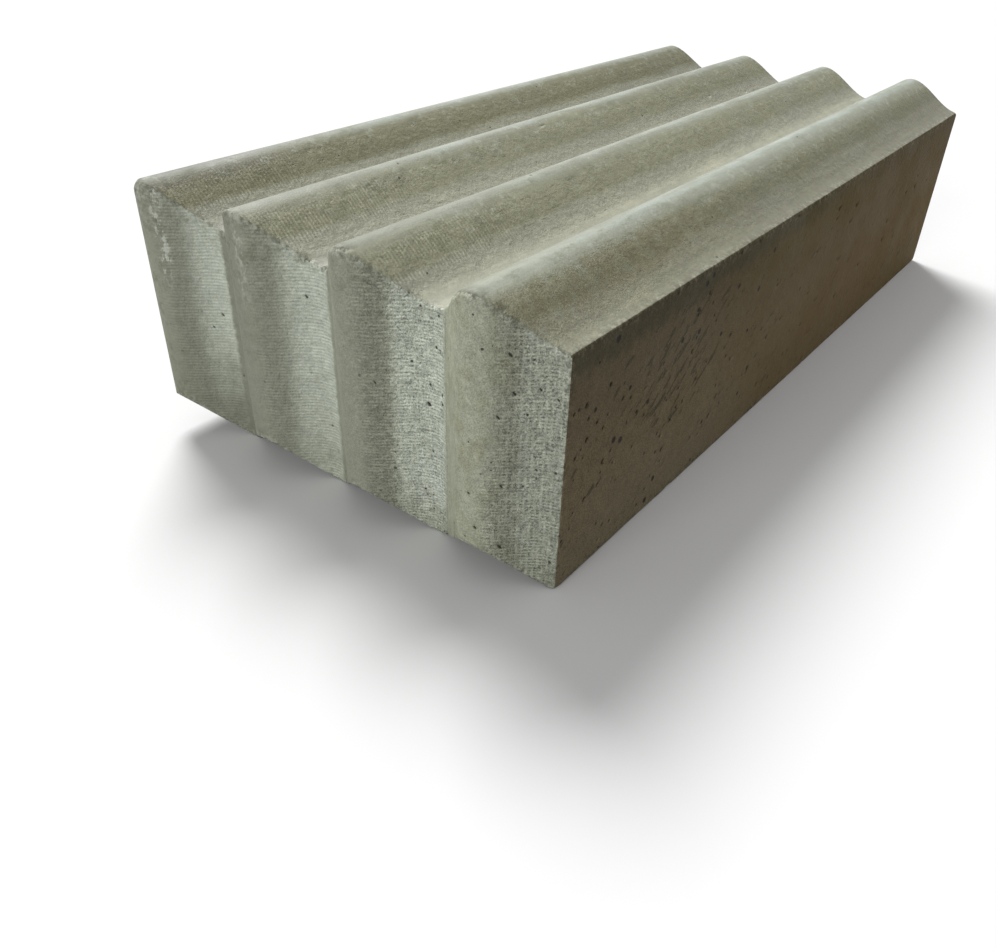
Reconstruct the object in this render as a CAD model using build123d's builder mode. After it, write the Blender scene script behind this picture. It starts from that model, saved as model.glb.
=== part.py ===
from build123d import *
from math import ceil, cos, radians, sin, tan
import os

os.makedirs("parts", exist_ok=True)

# Driving dimensions, in millimetres and degrees
wall_thickness = 140.0  # between the two flat faces, along X
module_length = 300.0  # end to end, between the mean lines of the end waves, along Y
course_height = 66.5  # bed to bed, between the mean lines of the bed waves, along Z
wave_pitch = 38.3  # crest to crest, the same on the beds and the ends
crest_width = 13.0  # across one rounded crest or trough, flank to flank
bed_flank_angle = 48.0  # slope of the straight flanks of the bed waves
end_flank_angle = 44.6  # slope of the straight flanks of the end waves
arris_radius = 0.9  # worn rounding of every edge


def crest_radius(flank_angle):
    """The radius that rounds a crest between flanks of this slope."""
    return crest_width / 2 / sin(radians(flank_angle))


def sharp_height(flank_angle):
    """Where the flanks would meet above the mean line, without the rounding."""
    return wave_pitch / 4 * tan(radians(flank_angle))


def wave_height(flank_angle):
    """The rounded crest above the mean line."""
    cut_off = crest_radius(flank_angle) * (1 / cos(radians(flank_angle)) - 1)
    return sharp_height(flank_angle) - cut_off


# The lowest ridges stand on Z = 0, and the block is centred on X and Y
bed_wave = wave_height(bed_flank_angle)
end_wave = wave_height(end_flank_angle)
right_face = wall_thickness / 2
front_end = -module_length / 2
back_end = front_end + module_length
lower_bed = bed_wave
upper_bed = lower_bed + course_height
top_of_crests = upper_bed + bed_wave


def wave_line(mean, flank_angle, crests_point):
    """A zigzag of flanks, rounded at its crests and troughs.

    It has a trough on the right face and runs past both flat faces. The crests point
    up the sketch where crests_point is 1, and down it where it is -1.
    """
    half_pitch = wave_pitch / 2
    corner_count = 2 * ceil(wall_thickness / wave_pitch) + 3
    corners = []
    for i in range(corner_count):
        side = crests_point if i % 2 == 0 else -crests_point
        height = mean + side * sharp_height(flank_angle)
        corners.append((right_face + (1 - i) * half_pitch, height))
    return FilletPolyline(*corners, radius=crest_radius(flank_angle))


# One casting: the beds are waved along its height and the ends along its length, with
# the same pitch and phase, so that the blocks nest in courses and end to end
with BuildPart() as concrete_block:
    # The two waved beds: a section across the ridges, drawn wider than the wall
    with BuildSketch(Plane.XZ):
        with BuildLine():
            lower = wave_line(lower_bed, bed_flank_angle, 1)
            upper = wave_line(upper_bed, bed_flank_angle, 1)
            Line(lower @ 0, upper @ 0)
            Line(lower @ 1, upper @ 1)
        make_face()
    extrude(amount=back_end + 2 * end_wave, both=True)

    # The two waved ends: a plan with the same ridges turned upright
    with BuildSketch(Plane.XY):
        with BuildLine():
            front = wave_line(front_end, end_flank_angle, -1)
            back = wave_line(back_end, end_flank_angle, -1)
            Line(front @ 0, back @ 0)
            Line(front @ 1, back @ 1)
        make_face()
    extrude(amount=top_of_crests, mode=Mode.INTERSECT)

    # The two flat faces of the wall
    Box(
        wall_thickness,
        module_length + 4 * end_wave,
        top_of_crests,
        align=(Align.CENTER, Align.CENTER, Align.MIN),
        mode=Mode.INTERSECT,
    )

    fillet(concrete_block.edges(), radius=arris_radius)

concrete_block.part.label = "concrete_block"
export_step(concrete_block.part, "parts/concrete_block.step")
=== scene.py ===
from math import cos, exp, pi, radians
from random import Random

import bmesh
import bpy
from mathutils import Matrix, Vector, noise
from mathutils.kdtree import KDTree


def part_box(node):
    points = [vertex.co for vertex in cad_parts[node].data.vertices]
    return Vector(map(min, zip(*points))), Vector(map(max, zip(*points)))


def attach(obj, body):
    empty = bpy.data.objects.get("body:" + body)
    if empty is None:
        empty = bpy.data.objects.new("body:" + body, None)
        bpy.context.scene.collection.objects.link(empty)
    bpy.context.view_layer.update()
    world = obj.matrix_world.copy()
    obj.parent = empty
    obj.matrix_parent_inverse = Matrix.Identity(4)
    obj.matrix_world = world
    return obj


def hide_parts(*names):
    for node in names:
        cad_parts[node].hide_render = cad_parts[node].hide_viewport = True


mm = 1000.0  # the scene is in metres, its node trees measure in mm

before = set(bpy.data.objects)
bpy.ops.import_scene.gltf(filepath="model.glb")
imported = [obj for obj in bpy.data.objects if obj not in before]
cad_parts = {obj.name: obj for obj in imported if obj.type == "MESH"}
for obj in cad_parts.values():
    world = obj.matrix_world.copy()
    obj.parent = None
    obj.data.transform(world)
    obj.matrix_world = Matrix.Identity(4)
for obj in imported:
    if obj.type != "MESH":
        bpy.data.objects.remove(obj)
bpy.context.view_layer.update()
castLow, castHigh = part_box("concrete_block")
print("frame loaded, the casting is", [round(side * mm, 1) for side in castHigh - castLow], "mm")


# Small helpers for node trees

def paint(red, green, blue):  # a colour as it looks on screen, each part 0 to 255
    parts = [part / 255 for part in (red, green, blue)]
    linear = [part / 12.92 if part <= 0.04045 else ((part + 0.055) / 1.055) ** 2.4 for part in parts]
    return (*linear, 1.0)


def grey(level):
    return (level, level, level, 1.0)


def feed(tree, value, socket):  # a number, colour or vector is set, another node's socket is linked
    if isinstance(value, bpy.types.NodeSocket):
        tree.links.new(value, socket)
    else:
        socket.default_value = value


def reckon(tree, operation, first, second=0.0, third=0.0, clamp=False):
    node = tree.nodes.new("ShaderNodeMath")
    node.operation = operation
    node.use_clamp = clamp
    for socket, value in zip(node.inputs, (first, second, third)):
        feed(tree, value, socket)
    return node.outputs[0]


def inTurn(tree, operation, values):
    result = values[0]
    for value in values[1:]:
        result = reckon(tree, operation, result, value)
    return result


def times(tree, *values):
    return inTurn(tree, "MULTIPLY", values)


def plus(tree, *values):
    return inTurn(tree, "ADD", values)


def minus(tree, *values):
    return inTurn(tree, "SUBTRACT", values)


def scaled(tree, value, factor, offset):
    return reckon(tree, "MULTIPLY_ADD", value, factor, offset)


def larger(tree, first, second):
    return reckon(tree, "MAXIMUM", first, second)


def farFrom(tree, value, centre):
    return reckon(tree, "ABSOLUTE", minus(tree, value, centre))


def fade(tree, value, start, end, low=0.0, high=1.0):  # a soft step from low at start to high at end
    node = tree.nodes.new("ShaderNodeMapRange")
    node.interpolation_type = "SMOOTHSTEP"
    for socket, number in zip(node.inputs, (value, start, end, low, high)):
        feed(tree, number, socket)
    return node.outputs[0]


def strip(tree, value, start, full, past, gone):  # 1 from full to past, soft on both sides
    return times(tree, fade(tree, value, start, full), fade(tree, value, gone, past))


def stretch(tree, position, factors):  # draws a pattern out along the axes whose factors are below 1
    node = tree.nodes.new("ShaderNodeVectorMath")
    node.operation = "MULTIPLY"
    feed(tree, position, node.inputs[0])
    node.inputs[1].default_value = factors
    return node.outputs[0]


def cloud(tree, position, size, detail=2.0, roughness=0.5):  # soft noise, its patches this many mm across
    node = tree.nodes.new("ShaderNodeTexNoise")
    feed(tree, position, node.inputs["Vector"])
    if isinstance(size, bpy.types.NodeSocket):
        feed(tree, reckon(tree, "DIVIDE", 1.0, size), node.inputs["Scale"])
    else:
        node.inputs["Scale"].default_value = 1.0 / size
    node.inputs["Detail"].default_value = detail
    node.inputs["Roughness"].default_value = roughness
    return node.outputs[0]


def swing(tree, position, size, detail=2.0, roughness=0.5):  # the same noise, about 0
    return minus(tree, cloud(tree, position, size, detail, roughness), 0.5)


def tint(tree, how, amount, under, over):
    node = tree.nodes.new("ShaderNodeMix")
    node.data_type = "RGBA"
    node.blend_type = how
    for index, value in ((0, amount), (6, under), (7, over)):
        feed(tree, value, node.inputs[index])
    return node.outputs[2]


def cover(tree, colour, over, amount):  # hides the colour where amount is 1
    return tint(tree, "MIX", amount, colour, over)


def wash(tree, colour, over, amount=1.0):  # a transparent layer, which multiplies the colour
    return tint(tree, "MULTIPLY", amount, colour, over)


def colourRun(tree, value, stops):  # stops are (place from 0 to 1, colour)
    node = tree.nodes.new("ShaderNodeValToRGB")
    marks = node.color_ramp.elements
    while len(marks) < len(stops):
        marks.new(0.5)
    for mark, (place, colour) in zip(marks, stops):
        mark.position = place
        mark.color = colour
    feed(tree, value, node.inputs[0])
    return node.outputs[0]


def axes(tree, position):
    node = tree.nodes.new("ShaderNodeSeparateXYZ")
    feed(tree, position, node.inputs[0])
    return node.outputs[0], node.outputs[1], node.outputs[2]


def vector(tree, x, y, z):
    node = tree.nodes.new("ShaderNodeCombineXYZ")
    for socket, value in zip(node.inputs, (x, y, z)):
        feed(tree, value, socket)
    return node.outputs[0]


def newGroup(name, takes, gives):  # takes are (label, kind), and gives are labels of values
    group = bpy.data.node_groups.new(name, "ShaderNodeTree")
    kinds = {"value": "NodeSocketFloat", "vector": "NodeSocketVector"}
    for label, kind in takes:
        group.interface.new_socket(name=label, in_out="INPUT", socket_type=kinds[kind])
    for label in gives:
        group.interface.new_socket(name=label, in_out="OUTPUT", socket_type=kinds["value"])
    take = group.nodes.new("NodeGroupInput").outputs
    give = group.nodes.new("NodeGroupOutput").inputs
    return group, take, give


def place(tree, group, values):
    node = tree.nodes.new("ShaderNodeGroup")
    node.node_tree = group
    for label, value in values.items():
        feed(tree, value, node.inputs[label])
    return node.outputs


# The mesh of the casting, in metres

block = {
    "moduleLength": 0.300,  # between the mean lines of the two end waves
    "courseHeight": 0.0665,  # between the mean lines of the two bed waves
    "wavePitch": 0.0383,  # ridge to ridge, the same on beds and ends
    "arris": 0.0007,  # rounding of a sound arris
    "arrisSegments": 3,
    "arrisWander": 0.007,  # how far apart an arris is wider and narrower
    "cutsAcross": 159,
    "cutsAlong": 127,
    "cutsUp": 53,
    "gatherAlong": 0.70,  # 0 spaces the cuts evenly, 1 crowds them all at the arrises
    "gatherUp": 0.45,
    "unevenness": 0.00016,  # slow waviness of every face, always inwards
    "slowWave": 0.022,  # how far apart its broad rises are
    "fineWave": 0.005,  # and its small ones
    "skin": 0.002,  # how deep below a face the mesh takes part in it
    "wearReach": 0.0035,  # how far from an arris its dust and nicks reach
    "wornCorner": 0.0030,  # rounding of the knocked corner, left front top
    "wornReach": 0.0060,
    "knockReach": 0.009,  # how far its crumbs reach
    "wornCrest": 0.0019,  # rounding of the front arris at two ridges
    "wornCrests": (0.5, 1.5),  # which ones, in wave pitches from the right face
    "crestReach": 0.006,
    "otherCorners": 0.0014,
    "cornerReach": 0.003,
    "crumble": 0.00034,  # fine raggedness of every arris
    "crumbSize": 0.0013,
    "gritSize": 0.0009,
    "chip": 0.0036,  # how steeply a notch deepens where the edge has broken
    "notchSize": 0.0031,
    "notchSpread": 0.017,  # how far apart the notched stretches are
    "chipReach": 0.004,
    "soundness": 0.27,  # higher leaves more of each arris whole
    "frontWear": 2.2,  # scales crumbs and notches on the front arrises of the beds
    "otherWear": 0.5,  # and on all the others
    "deepCut": 0.0009,  # a cut this deep looks freshly broken
}

halfWall = (castHigh.x - castLow.x) / 2
halfLength = block["moduleLength"] / 2
halfCourse = block["courseHeight"] / 2
endWave = (castHigh.y - castLow.y) / 2 - halfLength
bedWave = (castHigh.z - castLow.z) / 2 - halfCourse
middle = (castLow + castHigh) / 2
reach = (halfWall, halfLength, halfCourse)


def ridge(x):  # 1 on a crest, -1 in a valley, with a valley on the right face
    return -cos(2 * pi * (halfWall - (x - middle.x)) / block["wavePitch"])


def narrowing(axis, x):  # how much narrower a hole is drawn across the ridges, to be round on a flank
    if axis == 0:
        return 1.0
    step = 0.0005
    rise = (endWave, bedWave)[axis - 1] * (ridge(x + step) - ridge(x - step)) / (2 * step)
    return 1 / (1 + rise * rise) ** 0.5


def divideAlong(bm, axis, cuts):
    least = reach[axis]
    longEdges = [edge for edge in bm.edges if abs((edge.verts[1].co - edge.verts[0].co)[axis]) > least]
    bmesh.ops.subdivide_edges(bm, edges=longEdges, cuts=cuts, use_grid_fill=True)


def gatherCuts(bm, axis, share):  # towards the arrises, where the wear is
    limit = reach[axis] - block["arris"]
    for vert in bm.verts:
        even = vert.co[axis] / limit
        if abs(even) < 1 - 1e-5:
            crowded = cos(pi / 2 * (1 - even))
            vert.co[axis] = limit * ((1 - share) * even + share * crowded)


def plainBlock():  # the block before its faces are waved, centred on its own middle
    bm = bmesh.new()
    bmesh.ops.create_cube(bm, size=2.0)
    bmesh.ops.scale(bm, vec=reach, verts=bm.verts)
    bmesh.ops.bevel(
        bm, geom=bm.verts[:] + bm.edges[:], offset=block["arris"], segments=block["arrisSegments"],
        profile=0.5, affect="EDGES", material=-1,
    )
    divideAlong(bm, 0, block["cutsAcross"])
    divideAlong(bm, 1, block["cutsAlong"])
    divideAlong(bm, 2, block["cutsUp"])
    gatherCuts(bm, 1, block["gatherAlong"])
    gatherCuts(bm, 2, block["gatherUp"])
    bm.normal_update()
    for face in bm.faces:  # 0 ends, 1 beds, 2 walls
        across, along, up = (abs(part) for part in face.normal)
        if across > along and across > up:
            face.material_index = 2
        elif up > along:
            face.material_index = 1
        else:
            face.material_index = 0
    return bm


# Blowholes: places in mm on a face, from its near left or front edge and down from the
# upper bed, and widths in mm
holes = {
    "front": [
        (99.1, 27.8, 1.6), (104.0, 25.8, 1.0), (58.9, 10.8, 1.0), (21.0, 26.6, 1.0), (18.1, 33.4, 0.8),
        (102.5, 2.5, 0.9), (89.4, 29.8, 0.8), (128.9, 9.0, 1.1), (130.1, 16.9, 1.1), (133.9, 11.9, 0.9),
        (133.8, 13.4, 0.9), (137.8, 11.6, 0.8), (137.4, 13.6, 1.0), (127.3, 26.4, 1.1), (134.4, 33.0, 0.8),
        (128.1, 43.1, 1.0), (120.9, 50.0, 0.9), (123.1, 60.0, 1.1), (128.4, 61.6, 1.4), (24.5, 45.0, 0.6),
        (62.0, 48.0, 0.8), (100.5, 41.0, 0.8),
    ],
    "right": [
        (66.6, 8.0, 1.4), (8.4, 15.4, 2.2), (3.4, 15.6, 1.4), (18.6, 14.0, 1.4), (26.0, 21.4, 1.6),
        (14.2, 22.4, 1.4), (17.2, 26.0, 1.4), (5.0, 29.0, 1.6), (33.0, 29.4, 1.4), (38.0, 32.0, 1.3),
        (18.0, 36.0, 1.9), (21.6, 34.6, 1.3), (52.6, 41.4, 1.4), (56.6, 39.8, 1.3), (51.6, 49.6, 2.2),
        (80.8, 52.2, 2.2), (83.0, 46.2, 1.9), (68.6, 54.0, 1.4), (74.6, 55.2, 1.3), (89.6, 36.2, 1.4),
        (82.6, 30.0, 1.3), (11.4, 43.4, 1.8), (17.6, 55.2, 1.4), (26.0, 59.0, 1.4), (47.0, 55.8, 1.3),
        (112.0, 44.0, 1.4), (128.0, 37.0, 1.3), (150.0, 46.0, 1.4), (176.0, 30.0, 1.3), (205.0, 41.0, 1.4),
    ],
    "faces": {  # axis and side
        "left": (0, -1), "right": (0, 1), "front": (1, -1), "back": (1, 1), "bottom": (2, -1), "top": (2, 1),
    },
    "scattered": {"left": 40, "back": 30, "top": 12, "bottom": 44, "right": 70, "front": 8},
    "scatteredWidths": {"top": (0.4, 0.5, 0.6), "right": (0.9, 1.1, 1.4, 1.9)},
    "otherWidths": (0.5, 0.6, 0.7, 1.0),
    "widths": 1.0,  # scales them all
    "depth": 1.9,  # times the half width
    "bowl": 0.75,  # how much of its depth a hole has lost where it meets its rim
    "flare": 1.15,  # widens a hole below its rim
    "seed": 11,
    "edgeGap": 0.0012,  # in metres, no middle of a hole is closer to an arris
    "room": 0.85,  # the widest half width, as a share of the mesh's own spacing there
    "segments": 4,
}


def holePlaces():  # (axis, side, place on the plain block, half width)
    drawn = Random(holes["seed"])
    scale = holes["widths"] / 2 / mm
    for across, down, width in holes["front"]:
        yield 1, -1, Vector((across / mm - halfWall, -halfLength, halfCourse - down / mm)), width * scale
    for along, down, width in holes["right"]:
        yield 0, 1, Vector((halfWall, along / mm - halfLength, halfCourse - down / mm)), width * scale
    for name, count in holes["scattered"].items():
        axis, side = holes["faces"][name]
        widths = holes["scatteredWidths"].get(name, holes["otherWidths"])
        for hole in range(count):
            spot = Vector([drawn.uniform(-0.97, 0.97) * size for size in reach])
            spot[axis] = side * reach[axis]
            if name == "right":  # most of them towards the front
                spot.y = (0.94 * (1 + spot.y / halfLength) ** 2 / 2 - 0.97) * halfLength
            yield axis, side, spot, drawn.choice(widths) * scale


def findPits(bm):  # (vertex, axis, side, place, half width) of each hole that has room
    tree = KDTree(len(bm.verts))
    bm.verts.ensure_lookup_table()
    for vert in bm.verts:
        tree.insert(vert.co, vert.index)
    tree.balance()
    pits = []
    taken = set()
    for axis, side, spot, radius in holePlaces():
        vert = bm.verts[tree.find(spot)[1]]
        ring = {other.index for edge in vert.link_edges for other in edge.verts}
        onFace = abs(abs(vert.co[axis]) - reach[axis]) < 1e-6
        clear = all(reach[i] - abs(vert.co[i]) > holes["edgeGap"] for i in range(3) if i != axis)
        if taken & ring or not onFace or not clear or len(vert.link_edges) != 4:
            continue
        taken |= ring
        room = min(edge.calc_length() for edge in vert.link_edges)
        pits.append((vert, axis, side, vert.co.copy(), min(radius, room * holes["room"])))
    return pits


def sinkHoles(bm):
    pits = findPits(bm)
    centres = KDTree(len(pits))
    for number, pit in enumerate(pits):
        centres.insert(pit[3], number)
    centres.balance()
    first = 0.00008  # the bevel begins this small and is then drawn out to each hole's own width
    made = bmesh.ops.bevel(
        bm, geom=[pit[0] for pit in pits], offset=first, segments=holes["segments"],
        profile=0.5, affect="VERTICES", material=-1,
    )
    inside = set(made["faces"])
    pitLayer = bm.verts.layers.float["pit"]
    for vert in made["verts"]:
        axis, side, spot, radius = pits[centres.find(vert.co)[1]][1:]
        away = vert.co - spot
        narrow = Vector((narrowing(axis, spot.x + middle.x), 1.0, 1.0))
        if any(face not in inside for face in vert.link_faces):
            vert.co = spot + away.normalized() * radius * narrow
        else:
            share = min(away.length / first, 1.0)
            vert.co = spot + away * (radius * holes["flare"] / first) * narrow
            vert.co[axis] -= side * radius * holes["depth"] * (1 - holes["bowl"] * share ** 2)
            vert[pitLayer] = 1.0
    return len(pits)


def nearness(length, spread):  # 1 at no distance, falling off softly
    return exp(-(length / spread) ** 2)


def roundArrises(flat, gap, near, side):  # wider at the corners and most of all at the knocked one
    knocked = Vector((-halfWall, -halfLength, halfCourse))
    toCorner = near[0] + near[1] + near[2]
    rounding = block["arris"] * (1 + 0.45 * noise.noise(flat / block["arrisWander"]))
    rounding += (block["otherCorners"] - block["arris"]) * nearness(toCorner, block["cornerReach"])
    rounding += block["wornCorner"] * nearness((flat - knocked).length, block["wornReach"])
    if side[1] < 0 and side[2] > 0:
        for back in block["wornCrests"]:
            crest = halfWall - back * block["wavePitch"]
            rounding += block["wornCrest"] * nearness(flat.x - crest, block["crestReach"])
    into = [max(0.0, rounding - part) for part in gap]
    size = sum(part * part for part in into) ** 0.5
    if size > rounding:
        gap = [rounding - into[i] * rounding / size if into[i] > 0 else gap[i] for i in range(3)]
    return gap, nearness((flat - knocked).length, block["knockReach"])


def chipArrises(flat, gap, side):  # crumbs and notches, cut as small slopes across each arris
    for i, j in ((0, 1), (0, 2), (1, 2)):
        if gap[i] + gap[j] > block["chipReach"]:
            continue
        along = flat[3 - i - j]
        mark = 17.0 * i + 31.0 * j + 5.0 * side[i] + 11.0 * side[j]  # every arris has its own pattern
        crumb = noise.noise(Vector((along / block["crumbSize"], mark, 0)))
        notch = noise.noise(Vector((along / block["notchSize"], mark, 3)))
        notched = noise.noise(Vector((along / block["notchSpread"], mark, 6)))
        grit = noise.noise(flat / block["gritSize"])
        often = block["frontWear"] if side[1] < 0 and (i, j) == (1, 2) else block["otherWear"]
        cut = block["arris"] * 0.5 + block["crumble"] * (crumb + 0.5 * grit) * often
        loose = max(0.0, notch + 0.35 * notched - block["soundness"])
        cut += loose * block["chip"] * often * (1 + 0.4 * grit)
        short = cut - gap[i] - gap[j]
        if short > 0:
            gap[i] += short / 2
            gap[j] += short / 2


def weather(bm):  # worn arrises, chips and the slow unevenness of the faces, all inwards
    wear = bm.verts.layers.float["wear"]
    broken = bm.verts.layers.float["broken"]
    for vert in bm.verts:
        flat = vert.co.copy()
        side = [1 if part >= 0 else -1 for part in flat]
        gap = [reach[i] - abs(flat[i]) for i in range(3)]
        near = sorted(gap)
        vert[wear] = max(0.0, 1 - (near[0] + near[1]) / block["wearReach"])
        for i in range(3):
            if gap[i] < block["skin"]:
                slow = 0.5 + 0.5 * noise.noise(flat / block["slowWave"] + Vector((0, 0, 5 * i)))
                fine = 0.5 + 0.5 * noise.noise(flat / block["fineWave"] + Vector((9, 0, 5 * i)))
                dip = block["unevenness"] * (0.75 * slow + 0.25 * fine)
                gap[i] += dip * (1 - gap[i] / block["skin"])
        start = list(gap)
        gap, knock = roundArrises(flat, gap, near, side)
        chipArrises(flat, gap, side)
        moved = sum(abs(gap[i] - start[i]) for i in range(3))
        vert[broken] = min(1.0, max(moved / block["deepCut"], 1.2 * knock))
        vert.co = Vector([side[i] * (reach[i] - gap[i]) for i in range(3)])


def waveFaces(bm):  # the same wave stands out of the beds upwards and of the ends forwards
    for vert in bm.verts:
        height = ridge(vert.co.x + middle.x)
        vert.co += Vector((0, -endWave * height, bedWave * height)) + middle


def castBlock(finishes):
    bm = plainBlock()
    for name in ("wear", "broken", "pit"):
        bm.verts.layers.float.new(name)
    count = sinkHoles(bm)
    weather(bm)
    waveFaces(bm)
    bmesh.ops.recalc_face_normals(bm, faces=bm.faces)
    for face in bm.faces:
        face.smooth = True
    mesh = bpy.data.meshes.new("cast_block")
    bm.to_mesh(mesh)
    bm.free()
    for finish in finishes:
        mesh.materials.append(finish)
    piece = bpy.data.objects.new("cast_block", mesh)
    bpy.context.scene.collection.objects.link(piece)
    print("casting modelled with", count, "blowholes and", len(mesh.polygons), "faces")
    return piece


# Finishes, with every position in the node trees in mm

def ridgeGuide():  # how far along the wave a point is: 0 and 1 on a crest, 0.5 in a valley
    group, take, give = newGroup("ridge guide", [("Position", "vector")], ["From crest"])
    pitch = block["wavePitch"] * mm
    lastCrest = halfWall * mm - pitch / 2
    x = axes(group, take["Position"])[0]
    count = reckon(group, "DIVIDE", minus(group, x, lastCrest), pitch)
    feed(group, reckon(group, "FRACT", count), give["From crest"])
    return group


def mouldRibs():  # the fine even lines that the mould left in the paste: 1 on a line, 0 between
    takes = [("Position", "vector")] + [(label, "value") for label in ("Along", "Across", "Pitch", "Breaks")]
    group, take, give = newGroup("mould ribs", takes, ["Line"])
    drift = times(group, swing(group, take["Position"], 9.0), 0.9)
    wobble = times(group, swing(group, take["Position"], 1.3), 0.30)
    line = plus(group, take["Along"], plus(group, drift, wobble))
    turns = times(group, reckon(group, "DIVIDE", line, take["Pitch"]), 2 * pi)
    run = vector(group, times(group, take["Along"], 0.85), times(group, take["Across"], 0.34), 0.0)
    strength = fade(group, cloud(group, run, 1.0, 4.0, 0.7), 0.34, 0.64, -1.0, 0.45)
    strength = scaled(group, strength, take["Breaks"], 1.0)
    thin = reckon(group, "POWER", scaled(group, reckon(group, "SINE", turns), 0.5, 0.5), 1.2)
    feed(group, times(group, thin, strength), give["Line"])
    return group


def sandGrain():  # grit of the paste: a height and a tone, both about 0
    takes = [("Position", "vector"), ("Size", "value")]
    group, take, give = newGroup("sand grain", takes, ["Height", "Speck"])
    feed(group, swing(group, take["Position"], take["Size"], 4.0, 0.65), give["Height"])
    fine = cloud(group, take["Position"], times(group, take["Size"], 0.62), 1.0, 0.5)
    broad = cloud(group, take["Position"], times(group, take["Size"], 2.6), 2.0, 0.6)
    both = plus(group, times(group, fine, 0.7), times(group, broad, 0.3))
    feed(group, minus(group, both, 0.5), give["Speck"])
    return group


def airHoles():  # pinholes too small to model: 1 in a hole
    takes = [("Position", "vector"), ("Spacing", "value"), ("Share", "value"), ("Width", "value")]
    group, take, give = newGroup("air holes", takes, ["Hole"])
    cells = group.nodes.new("ShaderNodeTexVoronoi")
    feed(group, take["Position"], cells.inputs["Vector"])
    feed(group, reckon(group, "DIVIDE", 1.0, take["Spacing"]), cells.inputs["Scale"])
    drawn = group.nodes.new("ShaderNodeSeparateColor")  # each cell's own random numbers
    feed(group, cells.outputs["Color"], drawn.inputs[0])
    distance = times(group, cells.outputs["Distance"], take["Spacing"])
    radius = times(group, take["Width"], scaled(group, drawn.outputs[1], 0.35, 0.25))
    inside = fade(group, reckon(group, "DIVIDE", distance, radius), 1.15, 0.7)
    chosen = reckon(group, "LESS_THAN", drawn.outputs[0], take["Share"])
    feed(group, times(group, inside, chosen), give["Hole"])
    return group


def pasteClouds():  # patchy colour of set cement: a factor about 1, and its broad patches
    takes = [("Position", "vector"), ("Contrast", "value")]
    group, take, give = newGroup("paste clouds", takes, ["Factor", "Patch"])
    wide = cloud(group, take["Position"], 26.0, 3.0, 0.55)
    close = cloud(group, take["Position"], 4.2, 4.0, 0.6)
    both = plus(group, times(group, wide, 0.45), times(group, close, 0.55))
    change = times(group, minus(group, both, 0.5), take["Contrast"])
    feed(group, plus(group, change, 1.0), give["Factor"])
    feed(group, wide, give["Patch"])
    return group


def arrisDust():  # pale crumbs, and painted shade in the nicks along the arrises, from the mesh's own wear
    takes = [("Position", "vector"), ("Wear", "value"), ("Broken", "value")]
    group, take, give = newGroup("arris dust", takes, ["Pale", "Dark", "Height"])
    mottle = cloud(group, take["Position"], 1.5, 4.0, 0.72)
    patches = cloud(group, take["Position"], 4.5, 2.0, 0.5)
    edge = larger(group, times(group, take["Wear"], 0.7), take["Broken"])
    near = times(group, edge, fade(group, patches, 0.27, 0.47))
    feed(group, times(group, near, fade(group, mottle, 0.50, 0.62)), give["Pale"])
    feed(group, times(group, near, fade(group, mottle, 0.50, 0.41)), give["Dark"])
    feed(group, times(group, edge, minus(group, mottle, 0.5)), give["Height"])
    return group


groups = {
    "guide": ridgeGuide(),
    "ribs": mouldRibs(),
    "grain": sandGrain(),
    "air": airHoles(),
    "clouds": pasteClouds(),
    "dust": arrisDust(),
}


def startFinish(name):
    finish = bpy.data.materials.new(name)
    finish.use_nodes = True
    tree = finish.node_tree
    tree.nodes.clear()
    shader = tree.nodes.new("ShaderNodeBsdfPrincipled")
    target = tree.nodes.new("ShaderNodeOutputMaterial")
    tree.links.new(shader.outputs[0], target.inputs[0])
    where = tree.nodes.new("ShaderNodeTexCoord")
    scale = tree.nodes.new("ShaderNodeVectorMath")
    scale.operation = "SCALE"
    tree.links.new(where.outputs["Object"], scale.inputs[0])
    scale.inputs["Scale"].default_value = mm
    return finish, tree, shader, scale.outputs[0]


def meshValue(tree, name):
    node = tree.nodes.new("ShaderNodeAttribute")
    node.attribute_name = name
    return node.outputs["Fac"]


def fromCrests(tree, position, ragged):  # the ridge guide's value, its limits roughened a little
    return plus(tree, place(tree, groups["guide"], {"Position": position})["From crest"], ragged)


def ribLines(tree, position, along, across, pitch, breaks):
    values = {"Along": along, "Across": across, "Position": position, "Pitch": pitch, "Breaks": breaks}
    return place(tree, groups["ribs"], values)["Line"]


skinLook = {  # what the three finishes share
    "paleDust": 0.75,  # how strongly each colour shows, up to 1
    "nickShade": 0.85,
    "holes": 0.92,
    "dustHeight": 0.35,  # mm
    "pinDepth": 0.25,
    "bump": 0.001,  # in metres, so that the heights of the bump are in mm
}


def finishSkin(tree, shader, position, colour, height, pinholes, patches, look):
    worn = {"Position": position, "Wear": meshValue(tree, "wear"), "Broken": meshValue(tree, "broken")}
    dust = place(tree, groups["dust"], worn)
    hole = larger(tree, fade(tree, meshValue(tree, "pit"), 0.04, 0.40), pinholes)
    colour = cover(tree, colour, look["dust"], times(tree, dust["Pale"], skinLook["paleDust"]))
    # painted shade in the nicks
    colour = cover(tree, colour, look["nick"], times(tree, dust["Dark"], skinLook["nickShade"]))
    # painted shade inside the blowholes and pinholes, near black
    colour = cover(tree, colour, look["hole"], times(tree, hole, skinLook["holes"]))
    feed(tree, colour, shader.inputs["Base Color"])
    height = plus(tree, height, times(tree, dust["Height"], skinLook["dustHeight"]))
    height = minus(tree, height, times(tree, pinholes, skinLook["pinDepth"]))
    bump = tree.nodes.new("ShaderNodeBump")
    bump.inputs["Distance"].default_value = skinLook["bump"]
    feed(tree, height, bump.inputs["Height"])
    feed(tree, bump.outputs[0], shader.inputs["Normal"])
    feed(tree, fade(tree, patches, 0.3, 0.7, *look["roughness"]), shader.inputs["Roughness"])
    shader.inputs["Specular IOR Level"].default_value = look["gloss"]


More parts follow.
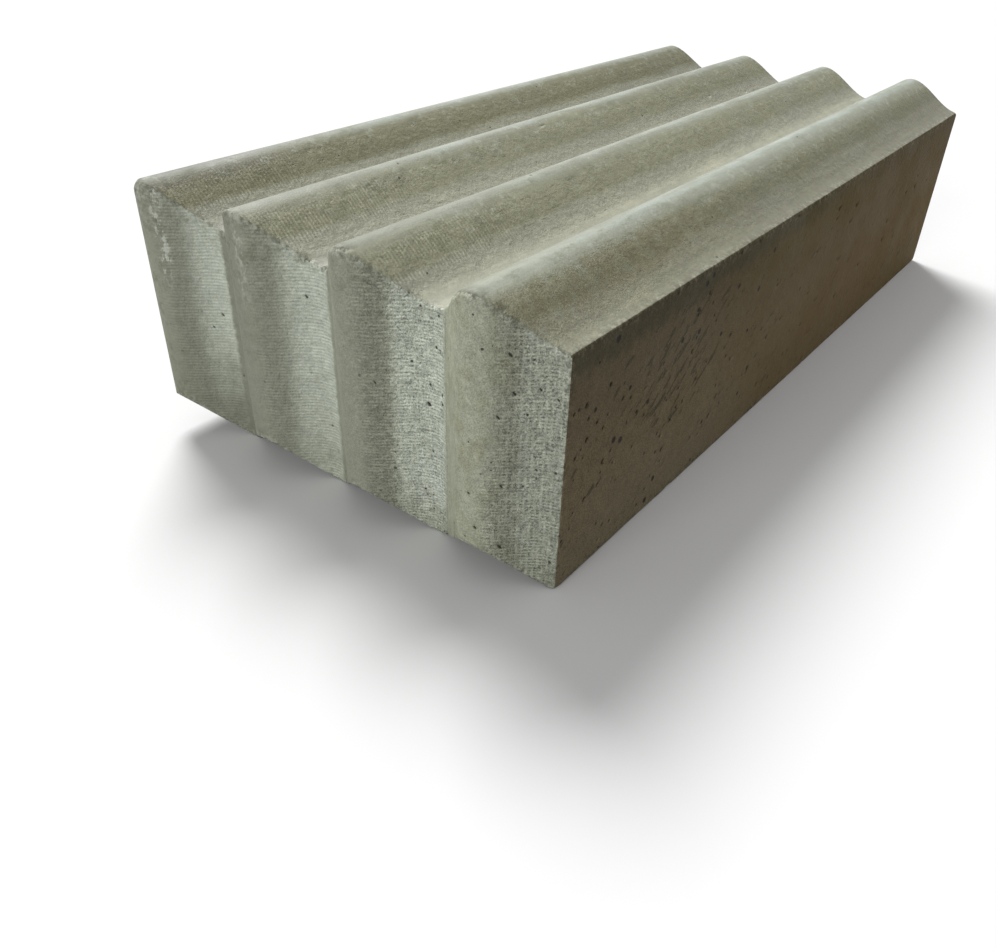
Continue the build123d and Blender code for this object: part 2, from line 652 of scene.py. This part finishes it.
endLook = {
    "ribPitch": 0.95,
    "weavePitch": 1.05,
    "ribDepth": 0.045,
    "contrast": (0.62, 1.0),  # of the clouds, on the left ridges and on the last one
    "grainSize": 0.55,
    "pins": {"Spacing": 2.0, "Share": 0.10, "Width": 0.75},
    "seam": 35.5,  # a thin mould line, x in mm
    "scuffs": ((-59.5, 78.0, 32.0, 1.0), (-24.0, 77.0, 26.0, 0.5)),  # x, top, length and strength
    "roughness": (0.62, 0.82),
    "gloss": 0.5,
    "plain": paint(136, 139, 122),  # olive, wherever the paste lay against the smooth mould
    "shaded": paint(138, 141, 125),  # where the pale band begins
    "pale": paint(182, 188, 174),  # the band of fine paste beside each valley
    "scuff": paint(190, 194, 181),
    "milk": paint(198, 203, 200),
    "seamLight": paint(182, 187, 174),
    "seamShadow": paint(108, 111, 92),
    "dust": paint(186, 190, 178),
    # painted shade in the nicks along the arrises
    "nick": paint(78, 79, 66),
    # painted shade inside the blowholes and pinholes
    "hole": paint(30, 30, 24),
    # washes, which multiply the colour under them
    "blotch": paint(212, 214, 204),
    "brown": paint(218, 213, 198),
    "lowLeft": paint(222, 223, 216),
    "foot": paint(205, 206, 192),
}


def endFinish():
    finish, tree, shader, position = startFinish("cast end, ribbed")
    x, y, z = axes(tree, position)
    phase = fromCrests(tree, position, times(tree, swing(tree, position, 2.4, 4.0, 0.75), 0.07))
    level = plus(tree, z, times(tree, swing(tree, position, 7.0, 3.0), 22.0))  # height, raggedly
    toRight = fade(tree, x, 8.0, 28.0)
    nearEnd = fade(tree, y, 20.0, -20.0)  # the far end is finished plainly

    # the pale band stops in the valley, later to the right, and fades low down on the left
    within = minus(tree, fade(tree, x, -30.0, 8.0, 0.460, 0.595), phase)
    begins = fade(tree, x, -5.0, 15.0, 0.195, 0.225)
    full = fade(tree, x, -5.0, 15.0, 0.325, 0.290)
    band = times(tree, fade(tree, phase, begins, full), fade(tree, within, -0.014, 0.020))
    band = times(tree, band, fade(tree, x, 55.0, 60.0, 1.0, 0.35))
    faded = times(tree, fade(tree, level, 40.0, 8.0), fade(tree, x, -20.0, -46.0, 0.25, 0.85))
    band = times(tree, band, minus(tree, 1.0, faded))
    rough = times(tree, fade(tree, phase, 0.03, 0.17), fade(tree, within, -0.03, 0.03))

    # olive paste, with painted light and shade over it: paler towards the fourth crest and darker beyond it
    colour = colourRun(tree, phase, [
        (0.0, endLook["plain"]),
        (0.13, endLook["plain"]),
        (0.25, endLook["shaded"]),
        (0.33, endLook["plain"]),
        (1.0, endLook["plain"]),
    ])
    # painted light and shade as a factor: paler towards the fourth crest, darker on the second and third
    # ridges and beyond the fourth crest
    paintedShading = scaled(tree, fade(tree, x, -25.0, 38.0), 0.43, 0.93)
    paintedShading = minus(tree, paintedShading, fade(tree, x, 53.0, 60.5, 0.0, 0.44))
    second = times(tree, strip(tree, x, -52.0, -46.0, -27.0, -22.0), 0.13)
    third = times(tree, strip(tree, x, 5.0, 12.0, 20.0, 24.0), fade(tree, x, 14.0, 18.0, 0.24, 0.36))
    fourth = times(tree, strip(tree, x, 30.0, 37.0, 46.0, 52.0), 0.15)
    paintedShading = plus(tree, minus(tree, paintedShading, second, third), fourth)
    colour = wash(tree, colour, paintedShading)
    colour = cover(tree, colour, endLook["pale"], band)
    contrast = fade(tree, x, 34.0, 42.0, *endLook["contrast"])
    clouds = place(tree, groups["clouds"], {"Position": position, "Contrast": contrast})
    colour = wash(tree, colour, clouds["Factor"])

    # blotches, most of them near the upper and the left edge, and a brown tinge on the fourth ridge
    nearEdge = larger(tree, fade(tree, z, 52.0, 72.0), fade(tree, x, -55.0, -67.0))
    blotch = fade(tree, cloud(tree, position, 3.2, 5.0, 0.68), 0.50, 0.62)
    blotch = times(tree, blotch, scaled(tree, nearEdge, 0.75, 0.25), fade(tree, x, 60.0, -20.0, 0.25, 1.0))
    colour = wash(tree, colour, endLook["blotch"], times(tree, blotch, 0.75))
    brown = fade(tree, cloud(tree, stretch(tree, position, (1.0, 1.0, 0.7)), 5.5, 5.0, 0.68), 0.42, 0.66)
    brown = times(tree, brown, strip(tree, x, 34.0, 42.0, 58.0, 66.0), nearEnd)
    colour = wash(tree, colour, endLook["brown"], times(tree, brown, 0.55))

    # a smooth patch on the fourth crest, where the paste lay against a bare spot of the mould
    patch = times(tree, fade(tree, farFrom(tree, x, 51.0), 8.5, 4.5), fade(tree, z, 26.0, 46.0), nearEnd)
    smooth = minus(tree, 1.0, times(tree, patch, 0.8))
    aslant = plus(tree, x, times(tree, z, 0.55))
    slant = vector(tree, aslant, y, times(tree, minus(tree, z, x), 0.20))
    scratches = times(tree, swing(tree, slant, 1.1, 4.0, 0.72), patch)

    # a few whitish scuffs down two ridges
    wander = times(tree, swing(tree, stretch(tree, position, (0.05, 0.0, 1.0)), 9.0), 3.0)
    flecks = fade(tree, cloud(tree, stretch(tree, position, (1.0, 1.0, 0.5)), 1.5, 4.0, 0.7), 0.49, 0.58)
    streaks = []
    for centre, top, length, strength in endLook["scuffs"]:
        across = fade(tree, farFrom(tree, plus(tree, x, wander), centre), 2.1, 0.5)
        down = fade(tree, z, top - length, top - length + 12.0)
        streaks.append(times(tree, across, down, flecks, nearEnd, strength))
    scuffs = plus(tree, *streaks)
    colour = cover(tree, colour, endLook["scuff"], times(tree, scuffs, 0.75))

    # a whitish bloom low in the last full valley
    milk = times(tree, strip(tree, x, 23.0, 28.0, 33.0, 36.0), strip(tree, z, 6.0, 12.0, 22.0, 36.0), nearEnd)
    wisps = cloud(tree, stretch(tree, position, (1.0, 1.0, 0.5)), 3.0, 4.0, 0.6)
    milk = times(tree, milk, fade(tree, wisps, 0.36, 0.60))
    colour = cover(tree, colour, endLook["milk"], times(tree, milk, 0.30))

    # the thin raised mould line, with its shadow
    fromLine = minus(tree, x, endLook["seam"])
    line = fade(tree, reckon(tree, "ABSOLUTE", fromLine), 0.40, 0.10)
    under = fade(tree, farFrom(tree, fromLine, 0.55), 0.40, 0.10)
    colour = cover(tree, colour, endLook["seamLight"], times(tree, line, 0.35))
    colour = cover(tree, colour, endLook["seamShadow"], times(tree, under, 0.35))

    lowLeft = times(tree, fade(tree, x, -36.0, -66.0), fade(tree, level, 52.0, 8.0))
    colour = wash(tree, colour, endLook["lowLeft"], times(tree, lowLeft, 0.6))
    colour = wash(tree, colour, endLook["foot"], times(tree, fade(tree, level, 16.0, 2.0), 0.45))

    # ribs across the rough flanks, woven with upright lines at the right
    breaks = fade(tree, x, -30.0, 20.0, 0.45, 1.0)
    ribs = ribLines(tree, position, z, x, endLook["ribPitch"], breaks)
    weave = ribLines(tree, position, x, z, endLook["weavePitch"], 1.0)
    ribbed = times(tree, fade(tree, phase, 0.03, 0.15), fade(tree, within, -0.02, 0.05), smooth)
    inner = times(tree, strip(tree, x, 18.0, 26.0, 33.0, 38.0), 0.4)
    woven = times(tree, rough, larger(tree, fade(tree, x, 54.0, 61.0), inner))
    onRibs = reckon(tree, "SUBTRACT", 1.0, times(tree, ribs, ribbed), clamp=True)
    onWeave = reckon(tree, "SUBTRACT", 1.0, times(tree, weave, woven, 0.80), clamp=True)
    between = times(tree, onRibs, onWeave)
    kept = fade(tree, cloud(tree, position, 6.0, 3.0, 0.6), 0.34, 0.60, 0.45, 1.05)
    lines = times(tree, minus(tree, 1.0, between), kept)
    dashes = swing(tree, stretch(tree, position, (0.55, 1.0, 1.5)), 0.9, 2.0, 0.6)
    dashes = times(tree, dashes, rough, smooth, fade(tree, x, -30.0, 30.0, 0.35, 1.15))
    meshed = fade(tree, cloud(tree, position, 3.0, 3.0, 0.6), 0.38, 0.60)
    grit = times(tree, scaled(tree, toRight, 0.50, 0.15), rough, smooth)
    grit = plus(tree, grit, fade(tree, x, -45.0, 45.0, 0.28, 0.95))
    grain = place(tree, groups["grain"], {"Position": position, "Size": endLook["grainSize"]})
    tone = plus(
        tree,
        times(tree, lines, fade(tree, x, -20.0, 30.0, 0.33, 0.46)),
        times(tree, ribbed, -0.14),
        dashes,
        times(tree, grain["Speck"], grit, 1.8),
        times(tree, scratches, 0.45),
        times(tree, between, between, woven, meshed, -0.30),
        1.0,
    )
    colour = wash(tree, colour, tone)

    pins = place(tree, groups["air"], {"Position": position, **endLook["pins"]})["Hole"]
    pins = times(tree, pins, scaled(tree, toRight, 0.7, 0.3))
    depth = times(tree, fade(tree, x, -20.0, 30.0, 1.0, 1.6), endLook["ribDepth"])
    height = plus(
        tree,
        times(tree, lines, depth),
        times(tree, grain["Height"], grit, 0.30),
        times(tree, dashes, 0.10),
        times(tree, swing(tree, position, 1.8, 4.0, 0.6), 0.5),
        times(tree, line, 0.10),
        times(tree, scuffs, 0.08),
        times(tree, scratches, 0.35),
    )
    finishSkin(tree, shader, position, colour, height, pins, clouds["Patch"], endLook)
    return finish


bedLook = {
    "ribPitch": 1.16,
    "ribDepth": 0.04,
    "ribBreaks": 0.70,
    "contrast": 0.84,
    "grainSize": 0.55,
    "pins": {"Spacing": 4.0, "Share": 0.07, "Width": 0.7},
    "roughness": (0.54, 0.74),
    "gloss": 0.47,
    "crest": paint(122, 125, 109),
    "shoulder": paint(129, 130, 110),
    "flank": paint(141, 141, 117),  # the steep side to the right of a crest
    "foot": paint(158, 158, 141),  # where the flank runs out into the valley
    "valley": paint(139, 139, 123),
    # painted sheen over a bloom of fine paste on the crests
    "bloomAndSheen": paint(163, 171, 163),
    # painted sheen along the last crest
    "paintedSheen": paint(178, 188, 184),
    "smudge": paint(172, 177, 162),
    "dust": paint(172, 172, 156),
    # painted shade in the nicks along the arrises
    "nick": paint(84, 82, 66),
    # painted shade inside the blowholes and pinholes
    "hole": paint(36, 34, 26),
    # washes, which multiply the colour under them
    "lastTrough": paint(220, 219, 209),
    "leftFlank": paint(231, 228, 218),
    # painted shade on the worn-round front of the last two crests
    "roundedFrontShade": paint(217, 218, 212),
    "dirt": paint(210, 213, 199),
    "brown": paint(234, 225, 208),
    "scuff": paint(200, 196, 180),
}


def bedShade(tree, x, y, phase):  # painted light and shade, a factor about 1, darker and paler from place to place
    nearFront = fade(tree, y, -95.0, -125.0)
    nearValleys = times(tree, strip(tree, phase, 0.37, 0.43, 0.60, 0.70), fade(tree, x, 20.0, 5.0))
    darker = plus(
        tree,
        times(tree, fade(tree, y, 20.0, 110.0), fade(tree, x, -25.0, -5.0, 0.11, 0.05)),  # the back half
        times(tree, fade(tree, x, 62.0, 66.0), fade(tree, y, -115.0, -95.0), 0.10),  # beside the right face
        times(tree, nearFront, nearValleys, 0.20),
        times(tree, nearFront, fade(tree, x, -56.0, -60.0), 0.28),  # the left edge
        times(tree, fade(tree, x, 55.0, 59.0), fade(tree, y, -85.0, -20.0), 0.09),  # the last flank
    )
    paler = plus(
        tree,
        times(tree, strip(tree, x, 24.0, 29.0, 37.0, 42.0), 0.13),  # the last full valley
        times(tree, strip(tree, x, 44.0, 48.0, 52.0, 57.0), fade(tree, y, -85.0, -125.0), 0.16),
        times(tree, strip(tree, x, -20.0, -16.0, -13.0, -10.0), fade(tree, y, 0.0, -60.0), 0.14),
    )
    return plus(tree, minus(tree, 1.0, darker), paler)


def bedFinish():
    finish, tree, shader, position = startFinish("cast bed, drawn smooth")
    x, y = axes(tree, position)[:2]
    ragged = swing(tree, stretch(tree, position, (1.0, 0.2, 1.0)), 4.0, 3.0)
    phase = fromCrests(tree, position, times(tree, ragged, 0.08))
    fromFront = plus(tree, y, halfLength * mm)
    fromBack = minus(tree, halfLength * mm, y)
    colour = colourRun(tree, phase, [
        (0.0, bedLook["crest"]),
        (0.03, bedLook["crest"]),
        (0.08, bedLook["shoulder"]),
        (0.16, bedLook["flank"]),
        (0.25, bedLook["flank"]),
        (0.295, bedLook["foot"]),
        (0.40, bedLook["foot"]),
        (0.46, bedLook["valley"]),
        (0.60, bedLook["valley"]),
        (0.88, bedLook["crest"]),
        (1.0, bedLook["crest"]),
    ])
    colour = wash(tree, colour, bedLook["lastTrough"], fade(tree, x, 53.0, 60.0))
    leftFlank = times(tree, fade(tree, x, -48.0, -53.0), strip(tree, phase, 0.05, 0.10, 0.24, 0.30))
    colour = wash(tree, colour, bedLook["leftFlank"], leftFlank)
    colour = wash(tree, colour, bedShade(tree, x, y, phase))
    clouds = place(tree, groups["clouds"], {"Position": position, "Contrast": bedLook["contrast"]})
    colour = wash(tree, colour, clouds["Factor"])

    # streaks along the ridges, broad ones and thin ones
    broad = cloud(tree, stretch(tree, position, (1.0, 0.11, 1.0)), 2.2, 5.0, 0.65)
    thin = swing(tree, stretch(tree, position, (1.0, 0.05, 1.0)), 0.8, 3.0, 0.6)
    streaks = plus(tree, times(tree, minus(tree, broad, 0.5), 0.42), times(tree, thin, 0.24), 1.0)
    colour = wash(tree, colour, streaks)

    # a bluish bloom of fine paste on the crests with painted sheen in it, in long patches and less towards
    # the front
    crown = larger(tree, fade(tree, phase, 0.10, 0.02), fade(tree, phase, 0.80, 0.92))
    bloomAndSheen = fade(tree, cloud(tree, stretch(tree, position, (1.0, 0.16, 1.0)), 3.5, 5.0, 0.65), 0.38, 0.66)
    bloomAndSheen = times(tree, crown, bloomAndSheen, fade(tree, fromFront, 15.0, 110.0, 0.25, 1.0))
    colour = cover(tree, colour, bedLook["bloomAndSheen"], times(tree, bloomAndSheen, 0.5))
    # a thin painted sheen along the last crest
    paintedSheen = times(tree, strip(tree, x, 48.0, 51.5, 54.0, 58.0), fade(tree, y, 130.0, 60.0, 0.6, 1.0))
    colour = cover(tree, colour, bedLook["paintedSheen"], times(tree, paintedSheen, 0.17))
    # painted shade on the front of the last two crests, where they are worn round
    roundedFrontShade = times(tree, crown, fade(tree, fromFront, 0.5, -3.0), fade(tree, x, 0.0, 8.0))
    colour = wash(tree, colour, bedLook["roundedFrontShade"], roundedFrontShade)
    dirt = fade(tree, cloud(tree, stretch(tree, position, (1.0, 0.55, 1.0)), 3.6, 5.0, 0.7), 0.50, 0.64)
    dirt = times(tree, dirt, fade(tree, phase, 0.35, 0.15), fade(tree, fromFront, 150.0, 40.0, 0.35, 1.0))
    colour = wash(tree, colour, bedLook["dirt"], times(tree, dirt, 0.75))
    # pale smudges on the near side of the crests
    smudge = fade(tree, cloud(tree, stretch(tree, position, (0.8, 0.7, 1.0)), 2.8, 5.0, 0.72), 0.53, 0.66)
    smudge = times(tree, smudge, strip(tree, phase, 0.0, 0.05, 0.14, 0.30), fade(tree, fromFront, 8.0, 25.0))
    colour = cover(tree, colour, bedLook["smudge"], times(tree, smudge, 0.40))
    # the near flank of the last ridge is browner
    brown = fade(tree, cloud(tree, position, 5.0, 4.0, 0.6), 0.40, 0.55)
    brown = times(tree, brown, strip(tree, phase, 0.06, 0.16, 0.26, 0.40), fade(tree, x, 25.0, 42.0))
    brown = times(tree, brown, fade(tree, fromFront, 130.0, 50.0))
    colour = wash(tree, colour, bedLook["brown"], times(tree, brown, 0.7))

    # ribs on the flanks, near the two ends
    reached = larger(tree, fade(tree, fromFront, 68.0, 30.0), fade(tree, fromBack, 45.0, 10.0, 0.0, 0.7))
    flank = strip(tree, phase, 0.08, 0.16, 0.34, 0.46)
    patchy = cloud(tree, stretch(tree, position, (1.0, 0.5, 1.0)), 6.0, 3.0, 0.6)
    patchy = fade(tree, patchy, 0.36, 0.54, 0.25, 1.0)
    ribbed = times(tree, strip(tree, phase, 0.06, 0.14, 0.285, 0.345), reached, patchy)
    ribbed = times(tree, ribbed, fade(tree, x, 34.0, 46.0, 1.0, 0.3))
    ribs = ribLines(tree, position, y, x, bedLook["ribPitch"], bedLook["ribBreaks"])
    lines = times(tree, ribs, ribbed)
    onFlank = times(tree, flank, reached, fade(tree, x, 25.0, 50.0, 0.15, 1.0))
    grit = scaled(tree, onFlank, 0.7, fade(tree, fromFront, 110.0, 40.0, 0.18, 0.36))
    grain = place(tree, groups["grain"], {"Position": position, "Size": bedLook["grainSize"]})
    tone = plus(
        tree,
        times(tree, lines, 0.46),
        times(tree, ribbed, -0.19),
        times(tree, grain["Speck"], grit, 1.4),
        1.0,
    )
    colour = wash(tree, colour, tone)

    # shallow scuffs on the flanks, some way behind the front
    scuff = fade(tree, cloud(tree, stretch(tree, position, (1.0, 0.5, 1.0)), 2.2, 4.0, 0.7), 0.58, 0.70)
    behind = times(tree, flank, strip(tree, fromFront, 25.0, 45.0, 95.0, 125.0))
    scuff = times(tree, scuff, scaled(tree, behind, 0.75, 0.25))
    colour = wash(tree, colour, bedLook["scuff"], times(tree, scuff, 0.7))

    pins = place(tree, groups["air"], {"Position": position, **bedLook["pins"]})["Hole"]
    height = plus(
        tree,
        times(tree, lines, bedLook["ribDepth"]),
        times(tree, grain["Height"], grit, 0.35),
        times(tree, broad, 0.11),
        times(tree, swing(tree, position, 1.8, 4.0, 0.6), flank, 0.5),
    )
    height = minus(tree, height, times(tree, scuff, 0.12))
    finishSkin(tree, shader, position, colour, height, pins, clouds["Patch"], bedLook)
    return finish


wallLook = {
    "contrast": 0.55,
    "grainSize": 0.7,
    "pins": {"Spacing": 3.2, "Share": 0.28, "Width": 2.0},
    "roughness": (0.7, 0.85),
    "gloss": 0.2,
    # the right face: its own brown, darkened and warmed by painted shade
    "front": paint(114, 102, 78),
    "back": paint(103, 85, 53),
    "plain": paint(129, 129, 111),  # the left face, which is finished plainly
    "darkMarks": paint(66, 62, 44),
    "lowFront": paint(124, 115, 93),
    "dust": paint(140, 132, 108),
    # painted shade in the nicks along the arrises
    "nick": paint(58, 51, 38),
    # painted shade inside the blowholes and pinholes
    "hole": paint(18, 16, 12),
    # washes, which multiply the colour under them
    "warm": paint(244, 240, 188),
    "farEnd": paint(244, 243, 222),
}


def wallFinish():
    finish, tree, shader, position = startFinish("cast wall, brown with painted shade")
    x, y, z = axes(tree, position)
    clouds = place(tree, groups["clouds"], {"Position": position, "Contrast": wallLook["contrast"]})
    far = fade(tree, plus(tree, y, times(tree, clouds["Patch"], 60.0)), -110.0, 110.0)
    shown = fade(tree, x, -20.0, 20.0)  # 1 on the right face
    fromTop = minus(tree, (castHigh.z - 2 * bedWave) * mm, z)
    # the right face is darker and browner than the plain left face: its own colour with painted warm shade in
    # it
    colour = cover(tree, wallLook["front"], wallLook["back"], far)
    colour = cover(tree, wallLook["plain"], colour, shown)
    colour = wash(tree, colour, clouds["Factor"])

    # painted shade, darker upwards, and paler low down at the front
    paintedShading = times(tree, fade(tree, fromTop, -4.0, 46.0, 0.38, 0.0), shown)
    colour = wash(tree, colour, minus(tree, 1.0, paintedShading))
    low = times(tree, fade(tree, fromTop, 34.0, 60.0), fade(tree, y, -10.0, -80.0), shown)
    colour = cover(tree, colour, wallLook["lowFront"], times(tree, low, 0.6))

    # a dark mottled band under the upper arris, strongest towards the front
    edge = times(tree, fade(tree, fromTop, 14.0, 1.0), fade(tree, y, 60.0, -90.0, 0.55, 1.0))
    band = plus(tree, edge, times(tree, swing(tree, position, 3.6, 5.0, 0.65), 1.6))
    band = times(tree, fade(tree, band, 0.28, 0.85), fade(tree, fromTop, 18.0, 12.0))

    # slanting smears, up and to the back, most of them a hand's breadth behind the front
    leanUp = plus(tree, times(tree, y, 0.20), times(tree, z, 0.16))
    leanBack = minus(tree, times(tree, z, 0.8), times(tree, y, 0.60))
    smear = cloud(tree, vector(tree, x, leanUp, leanBack), 1.8, 3.0, 0.6)
    aside = times(tree, minus(tree, y, -88.0), 0.030)
    down = times(tree, minus(tree, fromTop, 22.0), 0.045)
    apart = plus(tree, times(tree, aside, aside), times(tree, down, down))
    often = fade(tree, apart, 1.0, 0.1, 0.0, 0.11)
    smear = fade(tree, plus(tree, smear, often), 0.64, 0.72)
    # the band and the smears, drawn in one dark colour
    darkMarks = larger(tree, times(tree, band, 0.8), times(tree, smear, 0.85))
    colour = cover(tree, colour, wallLook["darkMarks"], times(tree, darkMarks, shown))

    # painted warm shade, warmer under the upper arris and towards the back
    warm = times(tree, fade(tree, fromTop, 28.0, 4.0), fade(tree, y, -100.0, 0.0), shown)
    colour = wash(tree, colour, wallLook["warm"], warm)
    colour = wash(tree, colour, wallLook["farEnd"], times(tree, fade(tree, y, 50.0, 130.0), shown))

    grain = place(tree, groups["grain"], {"Position": position, "Size": wallLook["grainSize"]})
    grit = fade(tree, y, 40.0, -110.0, 0.7, 2.2)
    colour = wash(tree, colour, plus(tree, times(tree, grain["Speck"], grit), 1.0))
    pins = place(tree, groups["air"], {"Position": position, **wallLook["pins"]})["Hole"]
    pins = times(tree, pins, fade(tree, y, 30.0, -60.0, 0.25, 1.0), scaled(tree, shown, 0.9, 0.1))
    height = plus(
        tree,
        times(tree, grain["Height"], 0.12),
        times(tree, clouds["Factor"], 0.12),
        times(tree, swing(tree, position, 2.4, 4.0, 0.6), 0.4),
    )
    height = minus(tree, height, times(tree, smear, shown, 0.34))
    finishSkin(tree, shader, position, colour, height, pins, clouds["Patch"], wallLook)
    return finish


piece = castBlock([endFinish(), bedFinish(), wallFinish()])
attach(piece, "root")
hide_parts("concrete_block")
print("finishes made")


# Floor, light and camera

studio = {
    "floorSize": 8.0,
    "floorSeen": 0.70,  # how pale the floor looks
    "floorBounce": 0.22,  # how much of the light it gives back to the block
    "sky": 0.42,
    "key": 3.87,  # from behind on the left, across the tops of the ridges
    "keyFrom": (-0.53, 0.35, 0.73),
    "keySoftness": 26.0,
    "fill": 1.95,  # onto the near end
    "fillFrom": (0.04, -0.97, 0.22),
    "fillSoftness": 40.0,
    "lampDistance": 2.0,
    "viewpoint": (0.15833, -0.28731, 0.15150),
    "viewTurn": (55.216, -1.272, 37.682),
    "lens": 32.01,
}


def seenDirectly(tree):  # 1 for what the camera, a mirror or a glass sees of the backdrop
    rays = tree.nodes.new("ShaderNodeLightPath")
    mirrored = larger(tree, rays.outputs["Is Camera Ray"], rays.outputs["Is Glossy Ray"])
    return larger(tree, mirrored, rays.outputs["Is Transmission Ray"])


def layFloor():
    bm = bmesh.new()
    bmesh.ops.create_grid(bm, x_segments=1, y_segments=1, size=studio["floorSize"])
    mesh = bpy.data.meshes.new("floor")
    bm.to_mesh(mesh)
    bm.free()
    floor = bpy.data.objects.new("floor", mesh)
    bpy.context.scene.collection.objects.link(floor)
    paper = bpy.data.materials.new("pale floor")
    paper.use_nodes = True
    tree = paper.node_tree
    shader = tree.nodes["Principled BSDF"]
    colour = cover(tree, grey(studio["floorBounce"]), grey(studio["floorSeen"]), seenDirectly(tree))
    feed(tree, colour, shader.inputs["Base Color"])
    shader.inputs["Roughness"].default_value = 1.0
    shader.inputs["Specular IOR Level"].default_value = 0.0
    mesh.materials.append(paper)


def lightStudio():
    world = bpy.data.worlds.new("studio")
    bpy.context.scene.world = world
    world.use_nodes = True
    tree = world.node_tree
    colour = cover(tree, grey(studio["sky"]), grey(1.0), seenDirectly(tree))
    feed(tree, colour, tree.nodes["Background"].inputs["Color"])
    for name in ("key", "fill"):
        light = bpy.data.lights.new(name, "SUN")
        light.energy = studio[name]
        light.angle = radians(studio[name + "Softness"])
        lamp = bpy.data.objects.new(name, light)
        lamp.rotation_mode = "QUATERNION"
        lamp.rotation_quaternion = Vector(studio[name + "From"]).to_track_quat("Z", "Y")
        lamp.location = Vector(studio[name + "From"]) * studio["lampDistance"]
        bpy.context.scene.collection.objects.link(lamp)


def setCamera():
    lens = bpy.data.cameras.new("camera")
    lens.lens = studio["lens"]
    lens.sensor_width = 36.0
    lens.clip_start = 0.01
    lens.clip_end = 50.0
    camera = bpy.data.objects.new("camera", lens)
    camera.location = studio["viewpoint"]
    camera.rotation_euler = [radians(turn) for turn in studio["viewTurn"]]
    bpy.context.scene.collection.objects.link(camera)
    bpy.context.scene.camera = camera


layFloor()
lightStudio()
setCamera()
bpy.context.scene.view_settings.view_transform = "Standard"
print("studio set up")
